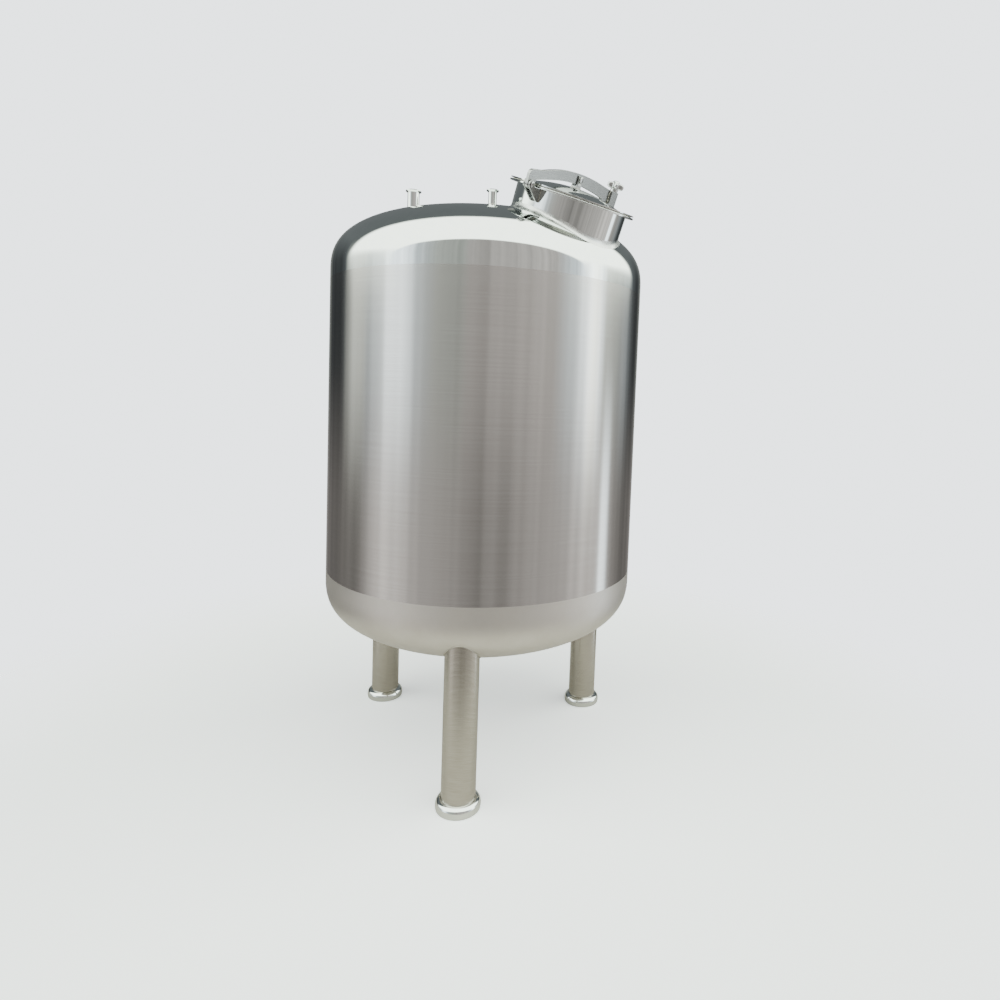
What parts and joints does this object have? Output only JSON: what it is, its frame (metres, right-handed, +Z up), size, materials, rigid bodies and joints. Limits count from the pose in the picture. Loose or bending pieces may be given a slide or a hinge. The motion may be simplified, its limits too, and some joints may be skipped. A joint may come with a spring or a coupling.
{
  "type": "vertical storage tank",
  "caption": "Upright round stainless process tank with dished heads on three pipe legs, with a hinged clamp-down round manhole cover and clamp ferrules.",
  "frame": {"origin": "on the floor, on the tank's upright axis", "axes": "+Z up, -Y towards the front leg's side, +X to the right seen from the front"},
  "size_m": [1.108, 1.108, 2.0374],
  "materials": {
    "shell_brushed_stainless": "brushed",
    "satin_stainless": "satin",
    "mirror_stainless": "mirror polished",
    "seal_rubber": "matt"
  },
  "bodies": {
    "tank": {"shell": "shell_brushed_stainless", "top_head": "mirror_stainless", "bottom_head": "satin_stainless", "leg_front": "satin_stainless", "leg_right": "satin_stainless", "leg_left": "satin_stainless", "foot_plate_front": "satin_stainless", "foot_plate_right": "satin_stainless", "foot_plate_left": "satin_stainless", "foot_cover_front": "mirror_stainless", "foot_cover_right": "mirror_stainless", "foot_cover_left": "mirror_stainless", "manhole_neck": "mirror_stainless", "manhole_rim": "mirror_stainless", "hinge_ear_near": "satin_stainless", "hinge_ear_far": "satin_stainless", "hinge_pin": "mirror_stainless", "clamp_ear_near": "satin_stainless", "clamp_ear_far": "satin_stainless", "clamp_pin": "mirror_stainless", "vent_ferrule": "mirror_stainless", "spray_ferrule": "mirror_stainless", "outlet_ferrule": "mirror_stainless"},
    "cover": {"manhole_lid": "mirror_stainless", "manhole_gasket": "seal_rubber", "lid_lug": "satin_stainless", "lid_lug_pin": "mirror_stainless", "cover_arm": "satin_stainless", "arm_fork": "satin_stainless"},
    "swing_bolt": {"swing_bolt": "mirror_stainless"},
    "star_knob": {"star_knob": "mirror_stainless"}
  },
  "joints": [
    {"name": "cover_hinge", "type": "hinge", "parent": "tank", "child": "cover", "pos_m": [0.10501, -0.49155, 1.90575], "axis": [0.7159, -0.5935, -0.3677], "range_deg": [0, 100]},
    {"name": "bolt_swing", "type": "hinge", "parent": "tank", "child": "swing_bolt", "pos_m": [0.39183, -0.14253, 1.90083], "axis": [-0.7159, 0.5935, 0.3677], "range_deg": [0, 90]},
    {"name": "knob_spin", "type": "hinge", "parent": "swing_bolt", "child": "star_knob", "pos_m": [0.41713, -0.17434, 2.00143], "axis": [0.2332, -0.2932, 0.9272], "continuous": true}
  ]
}
